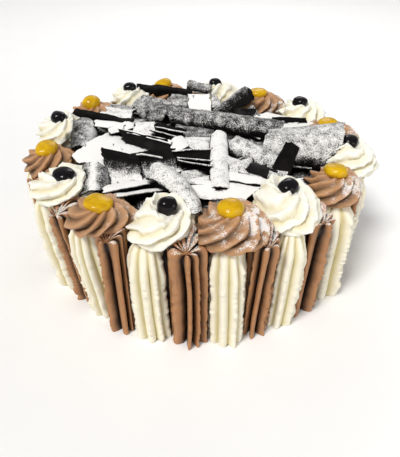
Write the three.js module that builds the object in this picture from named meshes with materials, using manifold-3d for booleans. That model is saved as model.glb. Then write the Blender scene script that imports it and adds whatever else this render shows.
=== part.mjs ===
// A black forest cake, 26.4 cm across: a round cream-coated cake whose side is piped all round with upright
// columns of white and brown cream, with a ring of sixteen piped rosettes on its rim, a cherry on each
// rosette, and a heap of curled dark chocolate shavings in the middle.
// Millimetres, +Z up, origin at the centre of the flat underside. Angles are in degrees, counted from the
// front (-Y) and growing towards the right (+X).
import * as THREE from "three";
import { mergeVertices } from "three/addons/utils/BufferGeometryUtils.js";
import Module from "manifold-3d";

const wasm = await Module();
wasm.setup();

// ---- Driving dimensions ----
const GAP = 0.3; // clearance between solids that touch
const SPACE = GAP + 0.1; // how much bigger than a solid is the space that is cut for it
const PAIRS = 16; // white and brown column pairs round the side, and rosettes on the rim
const PITCH = 360 / PAIRS; // degrees from one rosette to the next
const FIRST_ROSETTE = 12.8; // degrees from the front to the first rosette
const FOOT_RADIUS = 127; // outermost ridge of the columns where they stand
const SHOULDER_RADIUS = 133; // outermost ridge of the columns below their tops
const SHOULDER_HEIGHT = 76;
const COAT_DEPTH = 14.5; // from the outermost ridge in to the cream coat
const TOP = 77.6; // top of the cream coat
const DECK = TOP + GAP; // what the rosettes and the chocolate rest on
const ROSETTE_RING = 110; // radius of the circle of rosettes
const ROSETTE_RADIUS = 23.4;
const ROSETTE_HEIGHT = 19;
const CUP_DEPTH = 4.4; // the hollow that each cherry sits in
const CUP_RADIUS = 10.3;
const CUP_WALL = 0.9; // the share of the cup's radius inside which it keeps its round form
const HEAP_RADIUS = 95;
const HEAP_HEIGHT = 13;

// Columns: half the angle each takes in an even row, its radius there, the ridges round it and their depth.
const WHITE_COLUMN = { halfAngle: 6.6, radius: 13.4, lobes: 7, depth: 3.2 };
const BROWN_COLUMN = { halfAngle: 4.65, radius: 11.2, lobes: 7, depth: 3.6 };
const WIDER = 1.7; // how much a column's radius grows for each degree more that it takes
// A brown column ends in a star of petals that faces up and outwards: how much higher its rim is at the back
// than at the front, how far out its middle lies, the heights that its rise starts and ends at, and how much
// cream lies behind its middle.
const STAR = { lift: 12, lean: 6.5, start: 56, rim: 73, behind: 5 };
const AFTER_WHITE = 3.7; // degrees from a rosette to the seam after its white column
const AFTER_BROWN = 13; // degrees from a rosette to the seam after its brown column
// The drift of those two seams at each rosette, in degrees.
const SEAM_DRIFT = [
  [-0.9, -2.3], [-4, -3], [1, -1.3], [0.5, -1], [-1, 0.5], [0.6, 1], [-0.8, 0], [1, -0.6],
  [0, 0.8], [-0.7, -1], [0.4, 0.6], [1, 0], [-1.5, -2.8], [0.4, 0], [-0.4, -2.2], [-2, 0],
];
// How far out the foot of the white and of the brown column at each rosette stands.
const FOOT_DRIFT = [
  [4, -1], [-1, 0], [2, -1], [-1, 0], [1, -2], [-2, 0], [0, -1], [-1, -3],
  [1, 0], [-2, -1], [0, 1], [-1, -2], [-3, -1], [-4, -5], [-5, 3], [2, 2],
];
// How far back each brown column stands from its outermost line.
const SET_BACK = [1, 1, 5, 1, 1, 1, 1, 1, 1, 1, 1, 1, 5, 3, 1, 1];
const ROSETTE = { lobes: 7, depth: 3.6, twist: 175 };

// How far each rosette was piped from its even place: degrees round, and millimetres out.
const ROSETTE_DRIFT = [
  [-2, 0], [-1, -8], [-1, 1], [1, 3], [-2, -4], [0, -2], [0, -8], [1, 0],
  [4, 0], [-3, 6], [-1, -2], [-4, 4], [1, 1], [2, -1], [2, 7], [1, -1],
];
// The size of each rosette over ROSETTE_RADIUS, and how high its cream stands up behind its cherry.
const ROSETTE_SIZES = [1.07, 1.07, 0.88, 1, 1, 1, 1, 1, 1, 1, 1, 1, 0.85, 1, 0.97, 1.05];
const CREAM_BEHIND = [0, 6.5, 0, 3.5, 0, 2.5, 0, 3, 0, 2.5, 0, 3.5, 0, 4, 0, 7];
// The bank of that cream: how far its crest lies from the cherry's middle, how wide it is, how many degrees
// round from the rosette's right side it is highest, and its share of that height on the opposite side.
const BANK = { crest: 12, width: 5, highest: 125, lowest: 0.1 };
// How far in each rosette is drawn on its low right side, as a share of its radius; how many degrees round
// from its right side that is deepest; and the height over its foot at which it ends.
const ROSETTE_TUCK = [0, 0.22, 0.1, 0.16, 0.1, 0.16, 0.1, 0.16, 0.1, 0.16, 0.1, 0.16, 0.1, 0.3, 0.4, 0.45];
const TUCK = { side: -45, end: 24 };
// Width and height of the cherry on each rosette: a yellow one, then a dark one, and so on.
const CHERRIES = [
  [17, 11.4], [14.2, 11], [17.8, 9], [15.4, 10.4], [17.6, 8], [13, 9.6], [17.4, 8.2], [12.4, 10.4],
  [17.2, 9.4], [12.6, 9.6], [16, 11.6], [15.4, 10.6], [18.4, 9], [16, 9], [17.4, 8.2], [12.8, 12.6],
];
const DRIFT_AT_FOOT = 0.45; // share of the outward drift at a rosette's foot; its top has all of it

// Chocolate. A curl is a sheet of chocolate rolled about its own axis: at = centre, heading = the axis'
// direction in plan, counted from +X, rise = its slope, length, radius and wrap = how far round it is rolled,
// spin = turned about its axis, taper = the far end's size over the near end's, bend = how far the axis
// curves, skew = how slanted it is.
const SHAVING = 1.5; // thickness of the chocolate
const ROLLED = 270; // a curl wrapped further than this is placed by its axis, and an open one by its crown
const SPIRAL_STEP = 2.2; // how much closer in the next turn of a roll lies
const OPEN_FACET = 26; // degrees of an open curl's arc to each flat face
const ROLLED_FACET = 36; // the same for a rolled one
const BIG_CURLS = {
  curl_long: {
    at: [23, 19, 96], heading: -17, rise: -1, length: 88, radius: 9.4, wrap: 430, spin: 30, taper: 1.1,
  },
  curl_wide: {
    at: [78, -20, 103], heading: 0, rise: 2, length: 54, radius: 13.5, wrap: 150, spin: 30, taper: 1.7,
    skew: 0.3,
  },
  curl_middle: { at: [42, -33, 100], heading: -42, rise: -5, length: 42, radius: 8.4, wrap: 180, spin: 12 },
  curl_facing: {
    at: [16, -43, 99], heading: -91, rise: -7, length: 64, radius: 6.8, wrap: 140, spin: 0, taper: 1.1,
  },
  curl_bent: {
    at: [-9, -83, 100], heading: -60, rise: -8, length: 54, radius: 9.5, wrap: 150, spin: 4, taper: 0.55,
    bend: 44,
  },
  curl_left: {
    at: [-89, 3, 97], heading: -83, rise: -8, length: 38, radius: 11, wrap: 180, spin: 6, taper: 0.85,
  },
  curl_front_left: {
    at: [-68, -65, 96], heading: -84, rise: -14, length: 26, radius: 10, wrap: 190, spin: 0, taper: 1.1,
  },
  curl_back: {
    at: [27, 60, 101], heading: 36, rise: 24, length: 34, radius: 9, wrap: 190, spin: -14, taper: 1.15,
  },
};
const SHARDS = [
  // Behind: a dark one on edge, and the pale ones beside it.
  { at: [-30, 90, 95], heading: -13, rise: 0, length: 50, radius: 14, wrap: 60, spin: 84, taper: 0.8 },
  { at: [1, 98, 98], heading: -34, rise: 0, length: 26, radius: 8, wrap: 70, spin: 62 },
  { at: [2, 71, 95], heading: 3, rise: 0, length: 19, radius: 40, wrap: 34, spin: 18 },
  {
    at: [-65, 53, 94], heading: -20, rise: 0, length: 25, radius: 26, wrap: 50, spin: 10, taper: 1.2,
    skew: -0.4,
  },
  {
    at: [-30, 49, 96], heading: -22, rise: 0, length: 30, radius: 30, wrap: 54, spin: 14, taper: 0.8,
    skew: -0.4,
  },
  // The left: wide sheets, and the dark ones that stand among them.
  { at: [-78, 32, 95], heading: -24, rise: -1, length: 54, radius: 10, wrap: 50, spin: 66, skew: 0.5 },
  { at: [-70, 48, 94], heading: -18, rise: 0, length: 34, radius: 40, wrap: 40, spin: 6, skew: -0.3 },
  {
    at: [-59, 14, 96], heading: 44, rise: 0, length: 26, radius: 16, wrap: 26, spin: 10, taper: 1.5,
    skew: 0.5,
  },
  { at: [-62, -24, 94], heading: -43, rise: 0, length: 48, radius: 80, wrap: 30, spin: 2, skew: -0.2 },
  {
    at: [-50, -53, 96], heading: -14, rise: 2, length: 24, radius: 44, wrap: 44, spin: 34, taper: 0.6,
    skew: -0.5,
  },
  {
    at: [-30, -48, 96], heading: 12, rise: 0, length: 30, radius: 26, wrap: 44, spin: 38, taper: 1.3,
    skew: -0.1,
  },
  { at: [-38, -15, 97], heading: -27, rise: 1, length: 42, radius: 14, wrap: 44, spin: 40, skew: -1 },
  { at: [-38, -66, 92], heading: 20, rise: 1, length: 50, radius: 30, wrap: 20, spin: -10 },
  { at: [-34, -76, 91], heading: 16, rise: 0, length: 40, radius: 30, wrap: 20, spin: -20 },
  // The middle: one over the other, nearly on edge.
  { at: [-41, 16, 96], heading: 0, rise: 0, length: 17, radius: 16, wrap: 76, spin: 8, taper: 1.2 },
  { at: [-22, 8, 94], heading: -27, rise: 0, length: 28, radius: 30, wrap: 24, spin: 34 },
  { at: [-8, -38, 93], heading: -12, rise: 0, length: 44, radius: 40, wrap: 26, spin: 30, taper: 1.4 },
  {
    at: [-2, 4, 96], heading: -24, rise: 0, length: 34, radius: 16, wrap: 70, spin: 12, taper: 1.3,
    skew: -0.4,
  },
  { at: [1, -14, 96], heading: 4, rise: 0, length: 24, radius: 18, wrap: 66, spin: 10 },
  // The right: a chip on edge, planks, and flat ones behind the long roll.
  { at: [62, -47, 99], heading: 60, rise: 34, length: 21, radius: 50, wrap: 16, spin: 40, taper: 0.75 },
  {
    at: [17, -75, 92], heading: -10, rise: -2, length: 42, radius: 26, wrap: 46, spin: 8, taper: 0.8,
    skew: 0.6,
  },
  {
    at: [31, -52, 95], heading: -30, rise: -3, length: 24, radius: 23, wrap: 44, spin: 12, taper: 0.8,
    skew: -0.5,
  },
  { at: [38, -64, 93], heading: -13, rise: -2, length: 42, radius: 20, wrap: 30, spin: 6, taper: 0.9 },
  { at: [66, 34, 94], heading: -30, rise: 0, length: 34, radius: 30, wrap: 44, spin: 4, skew: 0.3 },
  { at: [80, 21, 94], heading: 10, rise: 0, length: 34, radius: 18, wrap: 44, spin: 6, taper: 0.7 },
];
const FLAKES = 4;
const FLAKE_SEED = 11;
// How far out the flakes reach, as a share of the heap's radius, how far over its top they lie in the middle,
// and how much lower they lie at its edge.
const STREWN = { reach: 0.92, over: 2.5, fall: 6 };

// ---- Helpers ----
const radians = THREE.MathUtils.degToRad;

// Random numbers from 0 to 1 that are the same on every run.
function seeded(seed) {
  let state = seed >>> 0;
  return () => {
    state = (state + 0x6d2b79f5) >>> 0;
    let t = Math.imul(state ^ (state >>> 15), state | 1);
    t ^= t + Math.imul(t ^ (t >>> 7), t | 61);
    return ((t ^ (t >>> 14)) >>> 0) / 2 ** 32;
  };
}

// value, eased so that it never falls below floor; far above floor it is unchanged.
function keepAbove(value, floor, softness = 0.8) {
  const over = (value - floor) / softness;
  const farAbove = 30; // from here on the easing is too small to count, and its power would overflow
  return over > farAbove ? value : floor + softness * Math.log1p(Math.exp(over));
}

// Presses a point in, so that it stays GAP / 2 clear of the upright planes through the cake's axis at two
// angles.
function keepInWedge(point, fromAngle, toAngle) {
  for (const [angle, side] of [[fromAngle, 1], [toAngle, -1]]) {
    const nx = Math.cos(radians(angle)) * side;
    const ny = Math.sin(radians(angle)) * side;
    const clear = point.x * nx + point.y * ny;
    const push = keepAbove(clear, GAP / 2) - clear;
    point.x += nx * push;
    point.y += ny * push;
  }
}

// A turned solid whose crests and grooves alternate round it. profile is [radius, height, share of the groove
// depth] from the foot's centre to the top's centre; the ridges turn by twist degrees on the way up. Each
// point then goes through shape, which moves it to its place in the front-facing frame.
function ridged({ profile, lobes, depth, twist = 0 }, shape) {
  const last = profile.length - 1;
  const turned = new THREE.LatheGeometry(profile.map(([r, z]) => new THREE.Vector2(r, z)), lobes * 2);
  turned.rotateX(Math.PI / 2);
  const position = turned.getAttribute("position");
  const point = new THREE.Vector3();
  for (let i = 0; i < position.count; i++) {
    const [radius, height, share] = profile[i % profile.length];
    const round = Math.floor(i / profile.length) % (lobes * 2);
    const groove = round % 2 ? depth * share : 0;
    const angle = (round / (lobes * 2)) * 2 * Math.PI + radians(twist) * ((i % profile.length) / last);
    point.set((radius - groove) * Math.cos(angle), (radius - groove) * Math.sin(angle), height);
    if (radius === 0) point.set(0, 0, height);
    shape(point);
    position.setXYZ(i, point.x, point.y, point.z);
  }
  return bare(turned);
}

// Only the positions, with shared vertices merged.
function bare(geometry) {
  const g = geometry.clone();
  for (const name of Object.keys(g.attributes)) if (name !== "position") g.deleteAttribute(name);
  return mergeVertices(g, 1e-4);
}

function toSolid(geometry) {
  return new wasm.Manifold(
    new wasm.Mesh({
      numProp: 3,
      vertProperties: new Float32Array(geometry.getAttribute("position").array),
      triVerts: new Uint32Array(geometry.index.array),
    }),
  );
}

function toGeometry(solid) {
  const { numProp, numVert, vertProperties, triVerts } = solid.getMesh();
  const positions = new Float32Array(numVert * 3);
  for (let i = 0; i < numVert; i++) {
    positions.set(vertProperties.subarray(i * numProp, i * numProp + 3), i * 3);
  }
  return new THREE.BufferGeometry()
    .setAttribute("position", new THREE.BufferAttribute(positions, 3))
    .setIndex(new THREE.BufferAttribute(new Uint32Array(triVerts), 1));
}

// The biggest body of a solid, without the scraps that a cut leaves.
function biggest(solid) {
  return solid.decompose().sort((a, b) => b.volume() - a.volume())[0];
}

const turnedTo = (geometry, angle) => geometry.clone().rotateZ(radians(angle));

// ---- Cake coat and columns ----
const outerRadius = (z) => FOOT_RADIUS + ((SHOULDER_RADIUS - FOOT_RADIUS) * z) / SHOULDER_HEIGHT;
const coatRadius = (z) => outerRadius(z) - COAT_DEPTH;

// The round cake in its coat of cream; its edge is bevelled, so that gaps show between the column tops.
function coat() {
  const edge = 10; // how wide the bevel is
  const profile = [
    [0, 0],
    [coatRadius(0), 0],
    [coatRadius(TOP - edge), TOP - edge],
    [coatRadius(TOP) - edge, TOP],
    [0, TOP],
  ];
  const turned = new THREE.LatheGeometry(profile.map(([r, z]) => new THREE.Vector2(r, z)), PAIRS * 2);
  return bare(turned.rotateX(Math.PI / 2));
}

// Where the column of one kind at a rosette starts and ends, as angles.
function columnSides(k, kind) {
  const rosetteAngle = FIRST_ROSETTE + k * PITCH;
  const before = (k + PAIRS - 1) % PAIRS;
  const afterWhite = rosetteAngle + AFTER_WHITE + SEAM_DRIFT[k][0];
  if (kind === "brown") return [afterWhite, rosetteAngle + AFTER_BROWN + SEAM_DRIFT[k][1]];
  return [rosetteAngle - PITCH + AFTER_BROWN + SEAM_DRIFT[before][1], afterWhite];
}

// An upright piped column with a domed top, in its place.
function column(k, kind) {
  const isBrown = kind === "brown";
  const spec = isBrown ? BROWN_COLUMN : WHITE_COLUMN;
  const [start, end] = columnSides(k, kind);
  const halfAngle = (end - start) / 2;
  const radius = spec.radius + (halfAngle - spec.halfAngle) * WIDER;
  const tops = isBrown ? BROWN_TOPS : WHITE_TOPS;
  const profile = [
    [0, 0, 0], [radius * 0.92, 0, 1], [radius, 5, 1], ...tops.map(([r, z, share]) => [radius * r, z, share]),
  ];
  const drift = FOOT_DRIFT[k][isBrown ? 1 : 0];
  const standing = ridged({ ...spec, profile }, (point) => {
    let out = outerRadius(Math.min(point.z, SHOULDER_HEIGHT)) - radius - point.y;
    out += drift * Math.max(0, 1 - point.z / SHOULDER_HEIGHT);
    if (isBrown) {
      const share = Math.hypot(point.x, point.y) / radius;
      const risen = Math.min(1, Math.max(0, (point.z - STAR.start) / (STAR.rim - STAR.start)));
      out -= SET_BACK[k];
      if (risen === 1) out += STAR.lean * (1 - share);
      point.z += (STAR.lift / 2) * (share + point.y / radius) * risen ** 2;
      out = keepAbove(out, coatRadius(point.z) + GAP + STAR.behind * (1 - share)); // it backs on to the coat
    }
    point.y = -out;
    keepInWedge(point, -halfAngle, halfAngle);
  });
  return toSolid(turnedTo(standing, (start + end) / 2));
}
const WHITE_TOPS = [[1, 58, 1], [0.8, 70, 1], [0.35, 77, 0.4], [0, 77.4, 0]];
const BROWN_TOPS = [[1, STAR.rim, 1], [0.75, 77, 0.8], [0.4, 79, 0.5], [0, 77.6, 0]];

// ---- Rosettes and cherries ----
const rosettes = ROSETTE_DRIFT.map(([turn, out], k) => ({
  angle: FIRST_ROSETTE + k * PITCH + turn,
  radius: ROSETTE_RING + out * DRIFT_AT_FOOT,
  lean: out * (1 - DRIFT_AT_FOOT),
  brown: k % 2 === 0,
}));

function rosette(k, grow = 0) {
  const { angle, radius, lean } = rosettes[k];
  const before = rosettes[(k + PAIRS - 1) % PAIRS].angle - (k === 0 ? 360 : 0);
  const after = rosettes[(k + 1) % PAIRS].angle + (k === PAIRS - 1 ? 360 : 0);
  const R = ROSETTE_RADIUS * ROSETTE_SIZES[k] + grow;
  const H = ROSETTE_HEIGHT + grow;
  const cup = CUP_RADIUS + grow;
  const hollow = grow ? 0 : 1; // the space for a rosette has no cup
  const profile = [
    [0, -grow, 0], [R * 0.8, -grow, 0.6], [R, 6, 1], [R * 0.93, 12, 1],
    [R * 0.7, 16.4 + grow, 0.8], [cup, H, 0], [cup * 0.68, H - CUP_DEPTH * 0.77 * hollow, 0],
    [0, H - CUP_DEPTH * hollow, 0],
  ];
  return ridged({ profile, ...ROSETTE }, (point) => {
    const up = Math.max(0, point.z) / ROSETTE_HEIGHT;
    const fromCherry = Math.hypot(point.x, point.y) - grow;
    if (fromCherry > CUP_RADIUS * CUP_WALL) {
      const bearing = Math.atan2(point.y, point.x);
      const facing = Math.max(0, Math.cos(bearing - radians(TUCK.side))) ** 2;
      const low = Math.max(0, 1 - Math.max(0, point.z) / TUCK.end);
      const tuck = (ROSETTE_TUCK[k] * facing * low * fromCherry) / (fromCherry + grow);
      point.multiply(new THREE.Vector3(1 - tuck, 1 - tuck, 1));

      const near = Math.exp(-(((fromCherry - BANK.crest) / BANK.width) ** 2));
      const behind = (1 + Math.cos(bearing - radians(BANK.highest))) / 2;
      point.z += CREAM_BEHIND[k] * near * (BANK.lowest + (1 - BANK.lowest) * behind);
    }
    point.y -= radius + lean * up;
    point.z += DECK;
    keepInWedge(point, (before - angle) / 2 - grow, (after - angle) / 2 + grow);
  });
}

function cherry(k, grow = 0) {
  const { radius, lean } = rosettes[k];
  const [width, height] = CHERRIES[k];
  const ball = new THREE.SphereGeometry(1, 9, 6);
  ball.rotateX(Math.PI / 2).scale(width / 2 + grow, width / 2 + grow, height / 2 + grow);
  const foot = DECK + ROSETTE_HEIGHT - CUP_DEPTH + GAP;
  return bare(ball.translate(0, -radius - lean, foot + height / 2));
}

// ---- Chocolate ----
// The sheet's cross-section is a band along an arc, or along a spiral where it closes on itself.
function curl(spec, grow = 0) {
  const { at, heading, rise, length, radius, wrap, spin, taper = 1, bend = 0, skew = 0 } = spec;
  const rolled = wrap > ROLLED;
  const steps = Math.max(2, Math.round(wrap / (rolled ? ROLLED_FACET : OPEN_FACET)));
  const tighten = wrap > 360 ? SPIRAL_STEP : 0;
  const outer = [];
  const inner = [];
  for (let i = 0; i <= steps; i++) {
    const angle = radians((i / steps - 0.5) * wrap);
    const r = radius - (tighten * i * wrap) / (steps * 360);
    outer.push(new THREE.Vector2(Math.sin(angle) * r, Math.cos(angle) * r));
    inner.push(new THREE.Vector2(Math.sin(angle) * (r - SHAVING), Math.cos(angle) * (r - SHAVING)));
  }
  const section = grow
    ? new THREE.Shape().absarc(0, 0, radius + grow, 0, 2 * Math.PI)
    : new THREE.Shape([...outer, ...inner.reverse()]);
  const sheet = new THREE.ExtrudeGeometry(section, {
    depth: length + 2 * grow,
    bevelEnabled: false,
    steps: bend ? 5 : 1,
    curveSegments: 7,
  });
  sheet.translate(0, 0, -length / 2 - grow);
  const position = sheet.getAttribute("position");
  for (let i = 0; i < position.count; i++) {
    let [side, up, along] = [position.getX(i), position.getY(i), position.getZ(i)];
    if (!rolled) up -= radius;
    const size = 1 + (taper - 1) * (along / length + 0.5);
    side *= size;
    up *= size;
    along += skew * side;
    if (bend) {
      const arc = length / radians(bend);
      const angle = along / arc;
      along = (arc + side) * Math.sin(angle);
      side = (arc + side) * Math.cos(angle) - arc;
    }
    position.setXYZ(i, along, side, up);
  }
  sheet.rotateX(radians(spin)).rotateY(radians(-rise)).rotateZ(radians(heading)).translate(...at);
  return bare(sheet);
}

function heapCore() {
  const profile = [
    [0, DECK], [HEAP_RADIUS, DECK], [HEAP_RADIUS * 0.9, DECK + HEAP_HEIGHT * 0.55],
    [HEAP_RADIUS * 0.6, DECK + HEAP_HEIGHT * 0.95], [0, DECK + HEAP_HEIGHT],
  ];
  const turned = new THREE.LatheGeometry(profile.map(([r, z]) => new THREE.Vector2(r, z)), PAIRS);
  return bare(turned.rotateX(Math.PI / 2));
}

// Small flakes strewn evenly over the heap, each half sunk in it.
function flakes() {
  const random = seeded(FLAKE_SEED);
  const golden = 137.508; // degrees: turning so far each time spreads them evenly
  return Array.from({ length: FLAKES }, (_, i) => {
    const out = HEAP_RADIUS * STREWN.reach * Math.sqrt((i + 0.6) / FLAKES);
    const turn = radians(i * golden);
    const height = DECK + HEAP_HEIGHT + STREWN.over - STREWN.fall * (out / HEAP_RADIUS) ** 3;
    return {
      at: [out * Math.cos(turn), out * Math.sin(turn), height],
      heading: random() * 360,
      rise: random() * 24 - 12,
      length: 20 + random() * 16,
      radius: 14 + random() * 18,
      wrap: 33 + random() * 14,
      spin: random() * 80 - 40,
      taper: 0.5 + random() * 0.5,
    };
  });
}

// ---- Assembly ----
const material = (name, color, roughness) => new THREE.MeshStandardMaterial({ name, color, roughness });
const white = material("white_cream", 0xf7f2dc, 0.5);
const brown = material("brown_cream", 0x9a6846, 0.55);
const yellowFruit = material("yellow_cherry", 0xdda01a, 0.15);
const darkFruit = material("dark_cherry", 0x1c1114, 0.1);
const chocolate = material("chocolate", 0x2c211f, 0.45);

const cake = new THREE.Group();
function add(name, geometry, finish) {
  const mesh = new THREE.Mesh(geometry, finish);
  mesh.name = name;
  cake.add(mesh);
}
const numbered = (name, k) => `${name}_${String(k + 1).padStart(2, "0")}`;

const rosetteShapes = rosettes.map(({ angle }, k) => turnedTo(rosette(k), angle));
const rosetteSpaces = rosettes.map(({ angle }, k) => toSolid(turnedTo(rosette(k, SPACE), angle)));
const cherryShapes = rosettes.map(({ angle }, k) => turnedTo(cherry(k), angle));
const cherrySpaces = rosettes.map(({ angle }, k) => toSolid(turnedTo(cherry(k, SPACE), angle)));

// The coat and the white columns are one cream.
const whiteColumns = rosettes.map((_, k) => column(k, "white"));
add("cake_and_white_columns", toGeometry(wasm.Manifold.union([toSolid(coat()), ...whiteColumns])), white);

rosettes.forEach((_, k) => {
  const clear = column(k, "brown").subtract(rosetteSpaces[k]).subtract(rosetteSpaces[(k + 1) % PAIRS]);
  add(numbered("brown_column", k), toGeometry(biggest(clear)), brown);
});

rosettes.forEach(({ brown: isBrown }, k) => {
  add(numbered(isBrown ? "brown_rosette" : "white_rosette", k), rosetteShapes[k], isBrown ? brown : white);
  const [fruit, finish] = isBrown ? ["yellow_cherry", yellowFruit] : ["dark_cherry", darkFruit];
  add(numbered(fruit, k), cherryShapes[k], finish);
});

// The big curls are cut clear of the cake's top, the rosettes, the cherries and the curls before them, and
// the heap of all of them.
const belowDeck = new THREE.CylinderGeometry(SHOULDER_RADIUS, SHOULDER_RADIUS, DECK, PAIRS);
belowDeck.rotateX(Math.PI / 2).translate(0, 0, DECK / 2);
const taken = [toSolid(bare(belowDeck)), ...rosetteSpaces, ...cherrySpaces];
for (const [name, spec] of Object.entries(BIG_CURLS)) {
  const piece = toSolid(curl(spec)).subtract(wasm.Manifold.union(taken));
  add(name, toGeometry(biggest(piece)), chocolate);
  taken.push(toSolid(curl(spec, SPACE)));
}
const strewn = [...SHARDS, ...flakes()].map((spec) => toSolid(curl(spec)));
const heap = wasm.Manifold.union([toSolid(heapCore()), ...strewn]).subtract(wasm.Manifold.union(taken));
add("chocolate_heap", toGeometry(biggest(heap)), chocolate);

export default cake;
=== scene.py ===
"""The looks of a black forest cake: piped columns and rosettes, cherries, and sugar-dusted chocolate.

Sizes are in millimetres and follow the part's own. Meshes are made in metres, in the part's frame: +Z up, -Y
the front, the origin under the middle of the cake. Angles are in degrees, from the front and growing to the
right.
"""

import math

import bpy
import numpy as np
from mathutils import Matrix, Vector
from mathutils.bvhtree import BVHTree


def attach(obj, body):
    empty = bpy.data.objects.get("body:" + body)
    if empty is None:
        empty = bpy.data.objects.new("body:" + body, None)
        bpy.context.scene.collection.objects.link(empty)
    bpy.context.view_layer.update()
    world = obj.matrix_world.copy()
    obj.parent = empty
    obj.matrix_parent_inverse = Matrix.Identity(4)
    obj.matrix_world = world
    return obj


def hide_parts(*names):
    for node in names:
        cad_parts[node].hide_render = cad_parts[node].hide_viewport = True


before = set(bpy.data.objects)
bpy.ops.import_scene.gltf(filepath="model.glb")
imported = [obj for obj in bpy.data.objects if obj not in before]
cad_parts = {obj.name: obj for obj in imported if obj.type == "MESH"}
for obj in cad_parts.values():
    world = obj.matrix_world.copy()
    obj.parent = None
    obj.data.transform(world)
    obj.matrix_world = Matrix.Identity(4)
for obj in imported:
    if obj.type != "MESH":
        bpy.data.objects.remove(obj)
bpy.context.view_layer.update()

MM = 0.001

# ---- Sizes ----
PAIRS = 16  # white and brown columns round the side, and rosettes on the rim
PITCH = 360 / PAIRS  # degrees from one rosette to the next
FIRST_ROSETTE = 12.8  # degrees from the front to the first rosette
FOOT_RADIUS = 127.0  # outermost ridge of the columns where they stand
SHOULDER_RADIUS = 133.0  # outermost ridge of the columns below their tops
SHOULDER_HEIGHT = 76.0
COAT_DEPTH = 14.5  # from the outermost ridge in to the cake's coat
DECK = 77.9  # the height that the rosettes and the chocolate rest at
ROSETTE_RING = 110.0  # radius of the circle of rosettes
ROSETTE_RADIUS = 23.4
ROSETTE_HEIGHT = 19.0
CUP_DEPTH = 4.4  # the hollow that each cherry sits in
HEAP_RADIUS = 95.0
HEAP_HEIGHT = 13.0
SHAVING = 1.1  # thickness of the chocolate
SUNK = 0.3  # how much lower the rosettes and the cherries sit, so that no gap shows under them

# Columns: half the angle each takes, its radius, the ridges round it, how deep the grooves are as a share
# of the radius, fullness (under 1 a ridge is broad and its groove narrow, over 1 it is a thin fin), the
# height of its top, how much of that is domed, how far out the dome leans, how much higher its rim is at the
# back than at the front, how far the petals of its end swell, how far the tails at its foot reach out, how
# uneven its ridges are, and the strength of the broad and of the fine streaks that the nozzle drew.
WHITE_COLUMN = {
    "half_angle": 6.6, "radius": 13.6, "ridges": 9, "groove": 0.32, "fullness": 0.85,
    "top": 80.0, "dome": 27, "lean": -2, "lift": 0, "petals": 0,
    "tails": 2.0, "uneven": 1, "streaks": (0.15, 0.05),
}
BROWN_COLUMN = {
    "half_angle": 4.65, "radius": 11.8, "ridges": 9, "groove": 0.7, "fullness": 1.1,
    "top": 77.5, "dome": 4.5, "lean": 6.5, "lift": 12, "petals": 3.2,
    "tails": 3.0, "uneven": 1.5, "streaks": (0.45, 0.25),
}
WIDER = 1.7  # how much a column's radius grows for each degree more that it takes
COLUMN_OVERLAP = 0.4  # degrees that a column presses past the seams at its sides
TOP_STARTS = 62  # from this height up, a column's grooves grow shallow
LUMPS_START = 58  # from this height up, a white column is lumpy
RIM_STARTS = 56  # from this height up, the back of a brown column's end rises
SEAMS = (3.7, 13.0)  # from each rosette to the seams after its white and its brown column
# For the white and the brown column at each rosette: how far round the seam after it lies from its even
# place, in degrees, and how far out its foot stands.
SEAM_DRIFT = [
    (-0.9, -2.3), (-4, -3), (1, -1.3), (0.5, -1), (-1, 0.5), (0.6, 1), (-0.8, 0), (1, -0.6),
    (0, 0.8), (-0.7, -1), (0.4, 0.6), (1, 0), (-1.5, -2.8), (0.4, 0), (-0.4, -2.2), (-2, 0),
]
FOOT_DRIFT = [
    (4, -1), (-1, 0), (2, -1), (-1, 0), (1, -2), (-2, 0), (0, -1), (-1, -3),
    (1, 0), (-2, -1), (0, 1), (-1, -2), (-3, -1), (-4, -5), (-5, 3), (2, 2),
]
# Brown columns that stand well back from the white ones beside them.
SET_BACK = {2: 5.0, 12: 5.0, 13: 3.0}

# How far each rosette was piped from its even place: degrees round, and millimetres out.
ROSETTE_DRIFT = [
    (-2, 0), (-1, -8), (-1, 1), (1, 3), (-2, -4), (0, -2), (0, -8), (1, 0),
    (4, 0), (-3, 6), (-1, -2), (-4, 4), (1, 1), (2, -1), (2, 7), (1, -1),
]
DRIFT_AT_FOOT = 0.45  # share of the outward drift at a rosette's foot; its top has all of it
# The size of each rosette over ROSETTE_RADIUS.
ROSETTE_SIZES = [1.07, 1.07, 0.88, 1, 1, 1, 1, 1, 1, 1, 1, 1, 0.85, 1, 0.97, 1.05]
# How high the cream of each white rosette stands up behind its cherry. BANK says how far its crest lies from
# the cherry's middle, how wide it is, at which bearing from the rosette's right side it is highest, and its
# share of that height in the mean and how far it swings from that.
CREAM_BEHIND = [0, 6.5, 0, 3.5, 0, 2.5, 0, 3, 0, 2.5, 0, 3.5, 0, 4, 0, 7]
BANK = {"crest": 12, "width": 5, "highest": 125, "mean": 0.55, "swing": 0.45}

# How far in each rosette is drawn on its low right side, as a share of its radius; TUCK says at which bearing
# from its right side that is deepest, and at which height it ends.
TUCK = {"side": -45, "end": 24}
ROSETTE_TUCK = [0, 0.22, 0.1, 0.16, 0.1, 0.16, 0.1, 0.16, 0.1, 0.16, 0.1, 0.16, 0.1, 0.3, 0.4, 0.45]

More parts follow.
